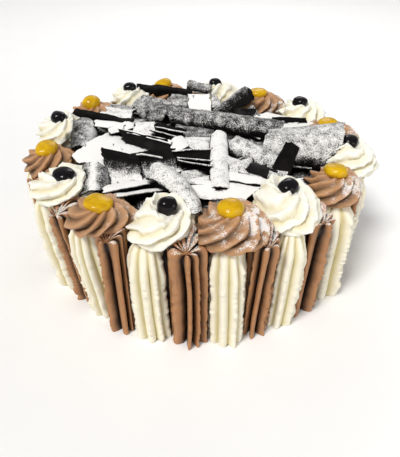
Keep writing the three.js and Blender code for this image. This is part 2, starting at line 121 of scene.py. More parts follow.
# The folds of brown and of white rosettes: how many there are, the range of degrees that they turn by on the
# way up, how deep they are, the points round each, how far the rosette sags to the left of the front, and
# the strength of its large, middle and small lumps.
BROWN_FOLDS = {
    "ridges": 9, "twist": (150, 180), "depth": 5.0, "steps": 18, "sag": 0.03, "swell": (1.4, 0.35, 0.15),
}
WHITE_FOLDS = {
    "ridges": 7, "twist": (240, 290), "depth": 4.4, "steps": 30, "sag": 0.09, "swell": (2.2, 1.3, 0.4),
}
ROSETTE_PROFILE = [  # radius as a share of the rosette's, height, and share of the folds' depth
    (0.35, 0.2, 0), (0.8, 0.0, 0.5), (0.97, 3.6, 0.9), (1.0, 7.2, 1), (0.93, 11.8, 1), (0.72, 15.8, 0.8),
    (0.5, 18.2, 0.6), (0.3, 18.6, 0.4), (0.1, 17.4, 0),
]
ROSETTE_SHADE = 0.65  # how strong the painted shade in a rosette's hollows is beside that in a column's
ROSETTE_OVERLAP = 0.5  # degrees that a rosette presses past the middle between it and the next

# Width, height, and tilt to the right of the cherry on each rosette.
CHERRIES = [
    (17, 11.4, 4), (14.2, 11, -8), (17.8, 9, 14), (15.4, 10.4, 6), (17.6, 8, 2), (13, 9.6, 4), (17.4, 8.2, 6),
    (12.4, 10.4, 0), (17.2, 9.4, 16), (12.6, 9.6, 6), (16, 11.6, 10), (15.4, 10.6, -16), (18.4, 9, 4),
    (16, 9, 2), (17.4, 8.2, 6), (12.8, 12.6, -4),
]

# How much icing sugar fell on each rosette, on the ends of the brown columns above a height, and on the
# heap's core.
ROSETTE_DUST = [1.0, 0.6, 1.0, 0.5, 0.6, 0.5, 0.7, 0.4, 0.6, 0.5, 0.5, 0.4, 0.2, 0.2, 0.7, 0.3]
COLUMN_DUST = 0.6
COLUMN_DUST_STARTS = 79
CORE_DUST = 0.5

# Chocolate: see curl() for what each word means.
BIG_CURLS = {
    "curl_long": dict(
        at=(23, 19, 96), heading=-17, rise=-1, length=88, radius=9.4, wrap=430, spin=30, taper=1.1,
        dust=[0.25, 0.42, 0.42, 0.42, 0.3],
    ),
    "curl_wide": dict(
        at=(78, -20, 103), heading=0, rise=2, length=54, radius=13.5, wrap=150, spin=30, taper=1.7, skew=0.3,
        dust=[0.66, 0.64, 0.6, 0.5],
    ),
    "curl_middle": dict(
        at=(42, -33, 100), heading=-42, rise=-5, length=42, radius=8.4, wrap=180, spin=12,
        dust=[0.55, 0.66, 0.6, 0.4],
    ),
    "curl_facing": dict(
        at=(16, -43, 99), heading=-91, rise=-7, length=64, radius=6.8, wrap=140, spin=0, taper=1.1, dust=0.85
    ),
    "curl_bent": dict(
        at=(-9, -83, 100), heading=-60, rise=-8, length=54, radius=9.5, wrap=150, spin=4, taper=0.55, bend=44,
        dust=[0.7, 0.75, 0.65, 0.55],
    ),
    "curl_left": dict(
        at=(-89, 3, 97), heading=-83, rise=-8, length=38, radius=11, wrap=180, spin=6, taper=0.85,
        dust=[0.15, 0.25, 0.6, 1.1],
    ),
    "curl_front_left": dict(
        at=(-68, -65, 96), heading=-84, rise=-14, length=26, radius=10, wrap=190, spin=0, taper=1.1,
        dust=[0.3, 0.35, 0.36, 0.38, 1.0, 0.42, 0.45, 0.42, 0.35],
    ),
    "curl_back": dict(
        at=(27, 60, 101), heading=36, rise=24, length=34, radius=9, wrap=190, spin=-14, taper=1.15,
        dust=[0.0, 0.2, 0.6, 0.6],
    ),
}
SHARDS = [
    # Behind: a dark one on edge, and the pale ones beside it.
    dict(at=(-30, 90, 95), heading=-13, length=50, radius=14, wrap=60, spin=84, taper=0.8, dust=0.0),
    dict(at=(-38, 71, 93), heading=-30, length=32, radius=16, wrap=50, spin=36, dust=0.5),
    dict(at=(-14, 74, 95), heading=-13, length=22, radius=18, wrap=50, spin=24, dust=0.45),
    dict(at=(1, 98, 98), heading=-34, length=26, radius=8, wrap=70, spin=62, dust=[0.2, 0.5, 0.5]),
    dict(at=(2, 71, 95), heading=3, length=19, radius=40, wrap=34, spin=18, dust=1.1),
    dict(at=(16, 74, 95), heading=6, rise=-4, length=9, radius=40, wrap=30, spin=14, taper=0.7, dust=0.6),
    dict(
        at=(-65, 53, 94), heading=-20, length=25, radius=26, wrap=50, spin=10, taper=1.2, skew=-0.4,
        dust=0.55,
    ),
    dict(
        at=(-45, 59, 94), heading=-40, length=28, radius=18, wrap=56, spin=14, taper=1.2, skew=-0.6,
        dust=0.5,
    ),
    dict(
        at=(-30, 49, 96), heading=-22, length=30, radius=30, wrap=54, spin=14, taper=0.8, skew=-0.4,
        dust=0.4,
    ),
    # The left: wide sheets, and the dark ones that stand among them.
    dict(at=(-78, 32, 95), heading=-24, rise=-1, length=54, radius=10, wrap=50, spin=66, skew=0.5, dust=0.0),
    dict(at=(-70, 48, 94), heading=-18, length=34, radius=40, wrap=40, spin=6, skew=-0.3, dust=0.8),
    dict(
        at=(-69, 19, 97), heading=-14, length=24, radius=13, wrap=60, spin=0, taper=0.8, skew=-0.3,
        dust=1.2,
    ),
    dict(at=(-59, 14, 96), heading=44, length=26, radius=16, wrap=26, spin=10, taper=1.5, skew=0.5, dust=1.2),
    dict(at=(-62, -24, 94), heading=-43, length=48, radius=80, wrap=30, spin=2, skew=-0.2, dust=1.2),
    dict(
        at=(-50, -53, 96), heading=-14, rise=2, length=24, radius=44, wrap=44, spin=34, taper=0.6, skew=-0.5,
        dust=[1.1, 0.75, 0.25, 0.0, 0.0],
    ),
    dict(
        at=(-30, -48, 96), heading=12, length=30, radius=26, wrap=44, spin=38, taper=1.3, skew=-0.1,
        dust=[1.0, 0.5, 0.0, 0.0],
    ),
    dict(at=(-38, -15, 97), heading=-27, rise=1, length=42, radius=14, wrap=44, spin=40, skew=-1.0, dust=0.0),
    dict(at=(-36, -11, 99), heading=-29, length=38, radius=12, wrap=18, spin=8, skew=-0.6, dust=1.2),
    dict(at=(-38, -66, 92), heading=20, rise=1, length=50, radius=30, wrap=20, spin=-10, dust=1.0),
    dict(at=(-34, -76, 91), heading=16, length=40, radius=30, wrap=20, spin=-20, dust=0.9),
    # The middle: thin shavings one over the other, nearly edge-on.
    dict(
        at=(-13, -20, 98), heading=-60, length=15, radius=22, wrap=54, spin=4, taper=0.6, skew=-0.4,
        dust=1.1,
    ),
    dict(at=(-41, 16, 96), heading=0, length=17, radius=16, wrap=76, spin=8, taper=1.2, dust=0.85),
    dict(at=(-22, 8, 94), heading=-27, length=28, radius=30, wrap=24, spin=34, dust=0.0),
    dict(at=(-23, 0, 96), heading=-29, length=26, radius=30, wrap=12, spin=-40, dust=0.9),
    dict(at=(-20, 6, 96), heading=-25, length=24, radius=30, wrap=12, spin=-46, dust=0.9),
    dict(at=(-8, -38, 93), heading=-12, length=44, radius=40, wrap=26, spin=30, taper=1.4, dust=0.0),
    dict(at=(2, -48, 95), heading=-20, length=30, radius=40, wrap=10, spin=-44, dust=0.9),
    dict(at=(2, -41, 95), heading=-11, length=30, radius=40, wrap=8, spin=-44, dust=0.9),
    dict(at=(-4, -29, 96), heading=6, rise=1, length=44, radius=34, wrap=12, spin=-44, dust=1.0),
    dict(
        at=(-2, 4, 96), heading=-24, length=34, radius=16, wrap=70, spin=12, taper=1.3, skew=-0.4,
        dust=0.42,
    ),
    dict(at=(1, -14, 96), heading=4, length=24, radius=18, wrap=66, spin=10, dust=0.8),
    # The right: a dark chip on edge, planks, and flat ones behind the long roll.
    dict(at=(62, -47, 99), heading=60, rise=34, length=21, radius=50, wrap=16, spin=40, taper=0.75, dust=0.0),
    dict(
        at=(17, -75, 92), heading=-10, rise=-2, length=42, radius=26, wrap=46, spin=8, taper=0.8, skew=0.6,
        dust=1.0,
    ),
    dict(at=(5, -64, 92), heading=30, length=22, radius=20, wrap=30, spin=10, taper=0.5, dust=0.9),
    dict(
        at=(31, -52, 95), heading=-30, rise=-3, length=24, radius=23, wrap=44, spin=12, taper=0.8, skew=-0.5,
        dust=0.7,
    ),
    dict(at=(44, -57, 96), heading=-33, rise=-4, length=18, radius=30, wrap=18, spin=10, dust=0.05),
    dict(at=(54, -62, 95), heading=-17, rise=-4, length=11, radius=25, wrap=22, spin=12, dust=0.6),
    dict(at=(38, -64, 93), heading=-13, rise=-2, length=42, radius=20, wrap=30, spin=6, taper=0.9, dust=1.1),
    dict(at=(40, 45, 94), heading=-4, length=20, radius=14, wrap=40, spin=50, dust=0.1),
    dict(at=(66, 34, 94), heading=-30, length=34, radius=30, wrap=44, spin=4, skew=0.3, dust=1.0),
    dict(at=(74, 26, 94), heading=-2, length=30, radius=14, wrap=34, spin=76, dust=0.0),
    dict(at=(80, 21, 94), heading=10, length=34, radius=18, wrap=44, spin=6, taper=0.7, dust=1.0),
]
FLAKES = 80  # smaller shavings strewn over the heap
ROLLED = 270  # a shaving wrapped further than this is a roll
SPIRAL_STEP = 2.2  # how much closer in the next turn of a roll lies
SHARP_EDGE = 40  # degrees between two faces of chocolate past which their edge stays sharp


# ---- Camera, light and floor ----
def set_camera():
    """The photographer stood in front of the cake and looked down at it at about 35 degrees."""
    place = Vector((2.49, -364.75, 261.20)) * MM
    looks_at = Vector((2.49, 0.0, 8.25)) * MM
    camera = bpy.data.objects.new("camera", bpy.data.cameras.new("camera"))
    camera.data.lens = 40.75
    camera.data.sensor_width = 36.0
    camera.data.clip_start = 0.01
    camera.location = place
    camera.rotation_euler = (looks_at - place).to_track_quat("-Z", "Y").to_euler()
    bpy.context.scene.collection.objects.link(camera)
    bpy.context.scene.camera = camera


def area_light(name, place, size, power):
    light = bpy.data.lights.new(name, "AREA")
    light.shape = "DISK"
    light.size = size
    light.energy = power
    lamp = bpy.data.objects.new(name, light)
    lamp.location = place
    lamp.rotation_euler = (Vector((0, 0, 0.06)) - Vector(place)).to_track_quat("-Z", "Y").to_euler()
    bpy.context.scene.collection.objects.link(lamp)


def set_light():
    sun = bpy.data.lights.new("key", "SUN")
    sun.energy = 2.5
    sun.angle = math.radians(18)
    sun.color = (1.0, 0.985, 0.95)
    lamp = bpy.data.objects.new("key", sun)
    lamp.rotation_euler = Vector((0.36, 0.48, -0.84)).to_track_quat("-Z", "Y").to_euler()
    bpy.context.scene.collection.objects.link(lamp)
    area_light("fill", (0.7, -0.6, 0.35), 0.5, 1.6)
    area_light("rim", (0.1, 0.8, 0.6), 0.5, 1.5)
    world = bpy.data.worlds.new("studio")
    world.use_nodes = True
    world.node_tree.nodes["Background"].inputs["Color"].default_value = (1, 1, 1, 1)
    world.node_tree.nodes["Background"].inputs["Strength"].default_value = 0.32
    bpy.context.scene.world = world
    bpy.context.scene.view_settings.view_transform = "Standard"


# ---- Procedural materials ----
class Shader:
    """A material's node tree, with its Principled shader, built up by short calls."""

    def __init__(self, name, **fixed):
        self.material = bpy.data.materials.new(name)
        self.material.use_nodes = True
        self.tree = self.material.node_tree
        self.principled = self.tree.nodes["Principled BSDF"]
        for socket, value in fixed.items():
            self.principled.inputs[socket.replace("_", " ")].default_value = value

    def node(self, kind, settings=None, **inputs):
        made = self.tree.nodes.new(kind)
        for attribute, value in (settings or {}).items():
            setattr(made, attribute, value)
        for socket, value in inputs.items():
            self.put(value, made.inputs[socket.replace("_", " ")])
        return made

    def put(self, value, socket):
        if isinstance(value, bpy.types.NodeSocket):
            self.tree.links.new(value, socket)
        else:
            socket.default_value = value

    def noise(self, size_mm, detail=2.0, roughness=0.5):
        """Noise from 0 to 1 whose lumps are about size_mm across."""
        place = self.node("ShaderNodeTexCoord").outputs["Object"]
        made = self.node(
            "ShaderNodeTexNoise", Vector=place, Scale=1 / (size_mm * MM), Detail=detail, Roughness=roughness
        )
        return made.outputs["Fac"]

    def attribute(self, name):
        return self.node("ShaderNodeAttribute", {"attribute_name": name}).outputs["Fac"]

    def math(self, operation, a, b=0.0):
        made = self.node("ShaderNodeMath", {"operation": operation})
        self.put(a, made.inputs[0])
        self.put(b, made.inputs[1])
        return made.outputs[0]

    def step(self, value, low, high, to_low=0.0, to_high=1.0):
        """value, mapped smoothly from low..high to to_low..to_high."""
        made = self.node("ShaderNodeMapRange", {"interpolation_type": "SMOOTHSTEP"})
        self.put(value, made.inputs["Value"])
        for socket, number in zip(("From Min", "From Max", "To Min", "To Max"), (low, high, to_low, to_high)):
            made.inputs[socket].default_value = number
        return made.outputs["Result"]

    def mix(self, share, a, b):
        """Colour a where share is 0, b where it is 1."""
        made = self.node("ShaderNodeMix", {"data_type": "RGBA"})
        self.put(share, made.inputs["Factor"])
        self.put(a, made.inputs[6])
        self.put(b, made.inputs[7])
        return made.outputs[2]

    def colour(self, value):
        self.put(value, self.principled.inputs["Base Color"])

    def roughness(self, value):
        self.put(value, self.principled.inputs["Roughness"])

    def bump(self, height, distance_mm, strength=1.0):
        made = self.node("ShaderNodeBump", Height=height, Distance=distance_mm * MM, Strength=strength)
        self.put(made.outputs["Normal"], self.principled.inputs["Normal"])


def rgb(red, green, blue):
    """A colour as seen on screen, 0 to 255, turned to the linear values that shaders take."""
    seen = [value / 255 for value in (red, green, blue)]
    return tuple(v / 12.92 if v <= 0.04045 else ((v + 0.055) / 1.055) ** 2.4 for v in seen) + (1.0,)


SUGAR = rgb(246, 245, 243)


def dusted(shader, surface, grain_mm=0.6, thickest=1.0):
    """surface, covered with icing sugar as far as the mesh's sugar attribute says, grain by grain."""
    amount = shader.attribute("sugar")
    grain = shader.math("MULTIPLY", shader.math("SUBTRACT", shader.noise(grain_mm, 1.0), 0.5), 1.4)
    drift = shader.math("MULTIPLY", shader.math("SUBTRACT", shader.noise(5.0, 2.0), 0.5), 0.75)
    uneven = shader.math("MULTIPLY", shader.math("ADD", grain, drift), shader.step(amount, 0.0, 0.15))
    cover = shader.step(shader.math("ADD", amount, uneven), 0.25, 0.85, 0.0, thickest)
    return shader.mix(cover, surface, SUGAR), cover


def cream(name, crest, groove_shade, scatter_mm, full_shade_at):
    """Whipped cream: crest on ridges, painted shade of the next colour in grooves, full at a set depth."""
    shader = Shader(
        name,
        Roughness=0.5,
        Subsurface_Weight=0.35,
        Subsurface_Radius=scatter_mm,
        Subsurface_Scale=MM,
        Specular_IOR_Level=0.35,
    )
    # Painted shade: the deeper a point lies in a groove, the more its colour turns to the shade colour.
    depth = shader.attribute("groove")
    patch = shader.math("MULTIPLY", shader.noise(9.0, 3.0), 0.3)
    shaded_tone = shader.mix(shader.step(shader.math("ADD", depth, patch), 0.15, full_shade_at), crest, groove_shade)
    surface, cover = dusted(shader, shaded_tone, grain_mm=0.7, thickest=0.8)
    shader.colour(surface)
    shader.roughness(shader.step(shader.noise(3.0), 0.3, 0.7, 0.42, 0.6))
    relief = shader.math("ADD", shader.noise(1.6, 3.0, 0.6), shader.math("MULTIPLY", cover, 0.5))
    shader.bump(relief, 0.5, 0.6)
    return shader.material


def dark_chocolate():
    shader = Shader("dark_chocolate", Specular_IOR_Level=0.06)
    bloom = shader.step(shader.noise(7.0, 3.0), 0.35, 0.75)
    bare = shader.mix(bloom, rgb(14, 12, 12), rgb(25, 22, 22))
    surface, cover = dusted(shader, bare)
    shader.colour(surface)
    shader.roughness(shader.math("ADD", 0.4, shader.math("MULTIPLY", cover, 0.45)))
    relief = shader.math("ADD", shader.noise(0.8, 2.0), shader.math("MULTIPLY", cover, 0.8))
    shader.bump(relief, 0.3, 0.7)
    return shader.material


def candied_cherry(name, flesh, deep, roughness, scatter_mm, weight):
    shader = Shader(
        name,
        Subsurface_Weight=weight,
        Subsurface_Radius=scatter_mm,
        Subsurface_Scale=MM,
        Specular_IOR_Level=0.16,
        Coat_Weight=0.16,
        Coat_Roughness=0.04,
    )
    shader.colour(shader.mix(shader.step(shader.noise(5.0, 3.0), 0.35, 0.7), flesh, deep))
    shader.roughness(shader.step(shader.noise(2.5), 0.3, 0.7, roughness, roughness + 0.15))
    shader.bump(shader.noise(3.2, 3.0, 0.55), 0.5, 0.5)
    return shader.material


def floor_material():
    shader = Shader("pale_floor", Roughness=0.6)
    shader.colour(shader.mix(shader.noise(60.0, 2.0), rgb(250, 250, 250), rgb(246, 246, 247)))
    return shader.material


# ---- Shapes: numbers ----
CELLS = 32  # random numbers along each side of the lattice, which repeats past them
LATTICE = np.random.default_rng(5).random((CELLS, CELLS, CELLS))
SEED_STEP = 7.31  # how far one seed's noise lies from the next in the lattice
HALF_GAP = 0.15  # how far cream stays clear of the planes that it is pressed between


def lumps(points, size, seed=0):
    """Smooth noise from -1 to 1 at each point, with lumps about size millimetres across."""
    places = np.asarray(points, float) / size + SEED_STEP * seed
    low = np.floor(places).astype(int)
    part = places - low
    part = part * part * (3 - 2 * part)
    total = 0.0
    for corner in np.ndindex(2, 2, 2):
        weight = np.prod(np.where(corner, part, 1 - part), axis=-1)
        cell = (low + corner) % CELLS
        total = total + weight * LATTICE[cell[..., 0], cell[..., 1], cell[..., 2]]
    return 2 * total - 1


def keep_above(value, floor, softness=0.8):
    """value, eased so that it never falls below floor."""
    over = (value - floor) / softness
    far_above = 30  # from here on the easing is too small to count, and its power would overflow
    eased = floor + softness * np.log1p(np.exp(np.minimum(over, far_above)))
    return np.where(over > far_above, value, eased)


def keep_in_wedge(points, from_angle, to_angle):
    """Presses points in between the upright planes through the cake's axis at two angles from the front."""
    for angle, side in ((from_angle, 1), (to_angle, -1)):
        normal = np.array([math.cos(math.radians(angle)), math.sin(math.radians(angle))]) * side
        clear = points[..., :2] @ normal
        push = keep_above(clear, HALF_GAP) - clear
        points[..., :2] += push[..., None] * normal
    return points


def turn(points, angle):
    """points, turned about the cake's axis."""
    c, s = math.cos(math.radians(angle)), math.sin(math.radians(angle))
    return points @ np.array([[c, s, 0], [-s, c, 0], [0, 0, 1]])


def stacked(x, y, z):
    """Points from their three coordinates, each spread to the shape of them all."""
    return np.stack(np.broadcast_arrays(x, y, z), axis=-1)


def uneven_round(angle, random, twice, thrice):
    """How far ridges lie from their even places: a wave that runs twice round, and one three times."""
    first = twice * np.sin(2 * angle + random.uniform(0, 6))
    return first + thrice * np.sin(3 * angle + random.uniform(0, 6))


def smooth_path(stops, count):
    """count points along a smooth curve through stops, evenly spaced by its length."""
    stops = np.asarray(stops, float)
    padded = np.vstack([2 * stops[0] - stops[1], stops, 2 * stops[-1] - stops[-2]])
    fine = []
    for i in range(len(stops) - 1):
        before, start, end, after = padded[i : i + 4]
        t = np.linspace(0, 1, 24, endpoint=False)[:, None]
        curve = 2 * start + (end - before) * t + (2 * before - 5 * start + 4 * end - after) * t**2
        fine.append(0.5 * (curve + (3 * start - before - 3 * end + after) * t**3))
    fine = np.vstack([*fine, stops[-1:]])
    walked = np.concatenate([[0], np.cumsum(np.linalg.norm(np.diff(fine, axis=0), axis=1))])
    marks = np.linspace(0, walked[-1], count)
    return np.stack([np.interp(marks, walked, fine[:, axis]) for axis in range(fine.shape[1])], axis=-1)


# ---- Shapes: meshes ----
def mesh_object(name, points, faces, material, sharp_angle=None, **attributes):
    """An object from points in millimetres; attributes are numbers for each point, by name."""
    mesh = bpy.data.meshes.new(name)
    mesh.from_pydata((np.asarray(points) * MM).tolist(), [], faces)
    for key, values in attributes.items():
        made = mesh.attributes.new(key, "FLOAT", "POINT")
        made.data.foreach_set("value", np.asarray(values, np.float32).ravel())
    mesh.shade_smooth()
    if sharp_angle is not None:
        mesh.set_sharp_from_angle(angle=math.radians(sharp_angle))
    mesh.materials.append(material)
    made = bpy.data.objects.new(name, mesh)
    bpy.context.scene.collection.objects.link(made)
    return made


def ring_faces(rings, around):
    """Quads between successive rings of points, each ring closed on itself."""
    faces = []
    for i in range(rings - 1):
        for j in range(around):
            k = (j + 1) % around
            faces.append((i * around + j, i * around + k, (i + 1) * around + k, (i + 1) * around + j))
    return faces


def closed_form(grid):
    """Points and faces of a closed form. grid is [ring, round it, xyz], from its foot up to its top; both
    end rings are closed by a fan about their middle."""
    rings, around, _ = grid.shape
    points = np.vstack([grid.reshape(-1, 3), grid[0].mean(0), grid[-1].mean(0)])
    foot, top = len(points) - 2, len(points) - 1
    faces = ring_faces(rings, around)
    last = (rings - 1) * around
    for j in range(around):
        k = (j + 1) % around
        faces.append((k, j, foot))
        faces.append((last + j, last + k, top))
    return points, faces


def joined(forms):
    """Several forms as one: each is its points and faces, and a number for each point where all have one."""
    faces, start = [], 0
    for points, form_faces, *_ in forms:
        faces.extend(tuple(start + corner for corner in face) for face in form_faces)
        start += len(points)
    points = np.vstack([form[0] for form in forms])
    if all(len(form) > 2 for form in forms):
        return points, faces, np.concatenate([form[2] for form in forms])
    return points, faces


# ---- Cream ----
def outer_radius(height):
    return FOOT_RADIUS + (SHOULDER_RADIUS - FOOT_RADIUS) * height / SHOULDER_HEIGHT


def coat_radius(height):
    return outer_radius(height) - COAT_DEPTH


def seam(k, brown):
    """The angle of the seam after a rosette's white column, or its brown one."""
    return FIRST_ROSETTE + k * PITCH + SEAMS[brown] + SEAM_DRIFT[k % PAIRS][brown]


def column_levels(shoulder, dome):
    """The rings of a column: their heights, how far each is domed in, and how far up its end's swelling."""
    over = np.linspace(0, np.pi / 2, 16)[1:-1]
    low = np.concatenate([[0, 0.5, 1.2, 2.2, 3.6], np.linspace(5.0, shoulder, 48)])
    heights = np.concatenate([low, shoulder + dome * np.sin(over)])
    domed = np.concatenate([0 * low, 1 - np.cos(over)])
    on_end = np.concatenate([0 * low, np.sin(2 * over)])
    return heights, domed, on_end[:, None]


def column(spec, k, brown):
    """One piped column: its points, its faces, and how deep in a groove each point is, for painted shade."""
    random = np.random.default_rng([41, k, int(brown)])
    start, end = (seam(k, False), seam(k, True)) if brown else (seam(k - 1, True), seam(k, False))
    half_angle = (end - start) / 2
    full_radius = spec["radius"] + (half_angle - spec["half_angle"]) * WIDER
    ridges = spec["ridges"]
    theta = np.linspace(0, 2 * np.pi, ridges * 14, endpoint=False)
    top = spec["top"] + random.uniform(-1.0, 1.0)
    shoulder = top - spec["dome"]
    heights, domed, on_end = column_levels(shoulder, spec["dome"])
    narrowed = (1 - domed) ** 0.8 * (1 - 0.1 * np.clip(1 - heights / 4, 0, 1) ** 2)
    h, below_dome = heights[:, None], 1 - domed[:, None]

    # The ridges: each has its own number, size and place.
    bend = math.radians(random.uniform(-9, 9)) * (h / 80)
    phase = random.uniform(0, 2 * np.pi)
    turned = theta[None, :] - phase + bend
    uneven = uneven_round(turned, random, 0.09, 0.07) * spec["uneven"]
    swing = ridges / 2 * (turned + uneven)
    ridge = np.abs(np.cos(swing)) ** spec["fullness"]
    number = np.round(swing / np.pi).astype(int) % ridges
    ridge_size = 1 + random.uniform(-0.08, 0.05, ridges)[number]
    at_top = np.clip((h - TOP_STARTS) / 12, 0, 1)
    smooth_top = 0.45 if brown else random.uniform(0.2, 0.95)
    groove = spec["groove"] * (1 - ridge) * (1 - smooth_top * at_top)
    radius = full_radius * narrowed[:, None] * ridge_size * (1 - groove)

    # Ragged edges on the ridges, the streaks that the nozzle drew, a lumpy top, and tails at the foot.
    along = stacked(number * 9.0, h, 0 * h)
    ragged = lumps(along, 2.2, k + 50 * brown) * 0.6 + lumps(along, 7.0, k + 9) * 0.7
    teeth = lumps(along, 1.3, k + 20) * random.uniform(0.0, 0.9, ridges)[number]
    edges = (ragged * 1.2 + teeth * 1.8) * ridge**3
    radius = radius + edges * np.clip(h / 6, 0.2, 1) * (1 - domed[:, None] * 0.6)
    drawn = stacked(theta * full_radius, h * 0.06, 0 * h)
    broad, fine = spec["streaks"]
    streaks = lumps(drawn, 1.3, k) * broad + lumps(drawn, 0.7, k + 40) * fine
    radius = radius + streaks * below_dome
    if not brown:
        blob = stacked(9 * np.cos(theta), 9 * np.sin(theta), h)
        lumpy = np.clip((h - LUMPS_START) / 12, 0, 1)
        radius = radius + lumps(blob, 8, k + 31) * 1.6 * lumpy * below_dome
    tails = random.uniform(0, spec["tails"], ridges)[number]
    radius = radius + tails * ridge**4 * np.clip(1 - h / 6, 0, 1) ** 2

    # Its place: how far out it stands, and the raised rim and the petals of a brown column's end.
    x = radius * np.cos(theta) + (lumps(stacked(0, 0, heights), 26, 3 * k + brown) * 0.9)[:, None]
    y = radius * np.sin(theta)
    least, most = (0.3, 2.6) if brown and k != PAIRS - 1 else (-0.2, 0.8)
    recess = random.uniform(least, most)
    if brown:
        recess = SET_BACK.get(k, recess)
    foot = FOOT_DRIFT[k][brown] * np.clip(1 - heights / SHOULDER_HEIGHT, 0, 1)
    moved = foot + domed * spec["lean"]
    out = outer_radius(np.minimum(h, SHOULDER_HEIGHT)) - full_radius - recess - y + moved[:, None]
    risen = np.clip((h - RIM_STARTS) / (shoulder - RIM_STARTS), 0, 1) ** 2
    rim = spec["lift"] * (0.5 + 0.5 * np.sin(theta)) * risen
    z = h + rim * narrowed[:, None] + spec["petals"] * on_end * (1.6 * ridge**0.5 - 0.6)
    grid = stacked(x, -out, z)
    grid = keep_in_wedge(grid, -half_angle - COLUMN_OVERLAP, half_angle + COLUMN_OVERLAP)
    points, faces = closed_form(turn(grid, (start + end) / 2))
    # Painted shade for each point: full deep in a groove, and some at the middles of its foot and top.
    deep = np.concatenate([((1 - ridge) + 0 * h).ravel(), [0.5, 0.3]])
    return points, faces, deep


def coat():
    """The cake's own coat, seen only in the gaps of the piping."""
    side = [(coat_radius(height), height) for height in (0, 30, 64)]
    rounded_edge = [(113, 72), (108, 76), (100, 77.6)]
    theta = np.linspace(0, 2 * np.pi, 180, endpoint=False)
    levels = smooth_path(side + rounded_edge, 24)
    grid = np.array([[(r * math.cos(t), r * math.sin(t), z) for t in theta] for r, z in levels])
    swell = lumps(grid, 9, 3)[..., None] * 0.5
    outward = grid * (1, 1, 0) / np.linalg.norm(grid[..., :2], axis=-1, keepdims=True)
    return closed_form(grid - outward * (0.6 - swell))


def rosette_place(k):
    turned, out = ROSETTE_DRIFT[k]
    return {
        "angle": FIRST_ROSETTE + k * PITCH + turned,
        "radius": ROSETTE_RING + out * DRIFT_AT_FOOT,
        "lean": out * (1 - DRIFT_AT_FOOT),
        "brown": k % 2 == 0,
    }


ROSETTES = [rosette_place(k) for k in range(PAIRS)]


def rosette(k):
    """A piped swirl with a cup for its cherry: its points, its faces, and the painted shade in its hollows.
    """
    place = ROSETTES[k]
    folds = BROWN_FOLDS if place["brown"] else WHITE_FOLDS
    ridges = folds["ridges"]
    random = np.random.default_rng([77, k])
    twist = math.radians(random.uniform(*folds["twist"]))
    stops = [(r * ROSETTE_RADIUS * ROSETTE_SIZES[k], z, share) for r, z, share in ROSETTE_PROFILE]
    path = smooth_path(stops, 70)
    phi = np.linspace(0, 2 * np.pi, ridges * folds["steps"], endpoint=False)[None, :]
    r, z, share = (path[:, axis][:, None] for axis in range(3))
    along = np.linspace(0, 1, len(path))[:, None]

    # Each fold rises slowly to its crest, and drops steeply to the fold beside it.
    uneven = uneven_round(phi, random, 0.12, 0.08)
    place_round = (phi + uneven - twist * along) * ridges / (2 * np.pi) + random.uniform(0, 1)
    number = np.floor(place_round).astype(int) % ridges
    across = place_round - np.floor(place_round)
    crest = 0.78
    ridge = np.where(across < crest, (across / crest) ** 1.1, ((1 - across) / (1 - crest)) ** 0.8)
    strength = random.uniform(0.55, 1.25, ridges)[number]
    groove = folds["depth"] * share * (1 - ridge) * strength

    slope = np.gradient(path[:, :2], axis=0)
    normal = np.stack([slope[:, 1], -slope[:, 0]], axis=-1)
    normal /= np.linalg.norm(normal, axis=-1, keepdims=True)
    on_fold = stacked(number * 11.0, along * 60, 0 * phi)
    ragged = lumps(on_fold, 2.2, k) * 0.7 + lumps(on_fold, 6, k + 3) * 1.1 + lumps(on_fold, 1.2, k + 6) * 0.5
    if not place["brown"]:
        ragged = ragged * 1.5 + lumps(on_fold, 1.6, k + 12) * random.uniform(0.0, 1.6, ridges)[number]
    move = ragged * ridge**2 * share - groove
    r = r + move * normal[:, 0][:, None]
    z = z + move * normal[:, 1][:, None]

    # It sags to the left of the front, is drawn in low on its right, and stands up behind its cherry.
    r = r * (1 + folds["sag"] * np.cos(phi + math.radians(150)))
    facing = np.clip(np.cos(phi - math.radians(TUCK["side"])), 0, 1) ** 2
    r = r * (1 - ROSETTE_TUCK[k] * (facing * np.clip(1 - z / TUCK["end"], 0, 1)))
    if not place["brown"]:
        near = np.exp(-(((r - BANK["crest"]) / BANK["width"]) ** 2))
        highest = np.cos(phi - math.radians(BANK["highest"]))
        z = z + CREAM_BEHIND[k] * near * (BANK["mean"] + BANK["swing"] * highest)
    grid = stacked(r * np.cos(phi), r * np.sin(phi), z)
    large, middle, small = folds["swell"]
    swell = lumps(grid, 14, k) * large + lumps(grid, 5, k + 2) * middle + lumps(grid, 2.4, k + 4) * small
    grid = grid + swell[..., None] * np.array([1.0, 1.0, 0.8]) * np.clip(z / 8, 0, 1)[..., None]
    lean = Matrix.Rotation(math.radians(random.uniform(-6, 6)), 3, "X")
    grid = grid @ np.array(lean).T

    up = np.clip(grid[..., 2], 0, None) / ROSETTE_HEIGHT
    grid[..., 1] -= place["radius"] + place["lean"] * up
    grid[..., 2] += DECK - SUNK
    before = ROSETTES[k - 1]["angle"] - (360 if k == 0 else 0)
    after = ROSETTES[(k + 1) % PAIRS]["angle"] + (360 if k == PAIRS - 1 else 0)
    left = (before - place["angle"]) / 2 - ROSETTE_OVERLAP
    right = (after - place["angle"]) / 2 + ROSETTE_OVERLAP
    points, faces = closed_form(turn(keep_in_wedge(grid, left, right), place["angle"]))
    # Painted shade in the hollows of the folds, by how deep they are and how far up the rosette.
    deep = np.concatenate([((1 - ridge) * share).ravel(), [0, 0]])
    return points, faces, deep * ROSETTE_SHADE


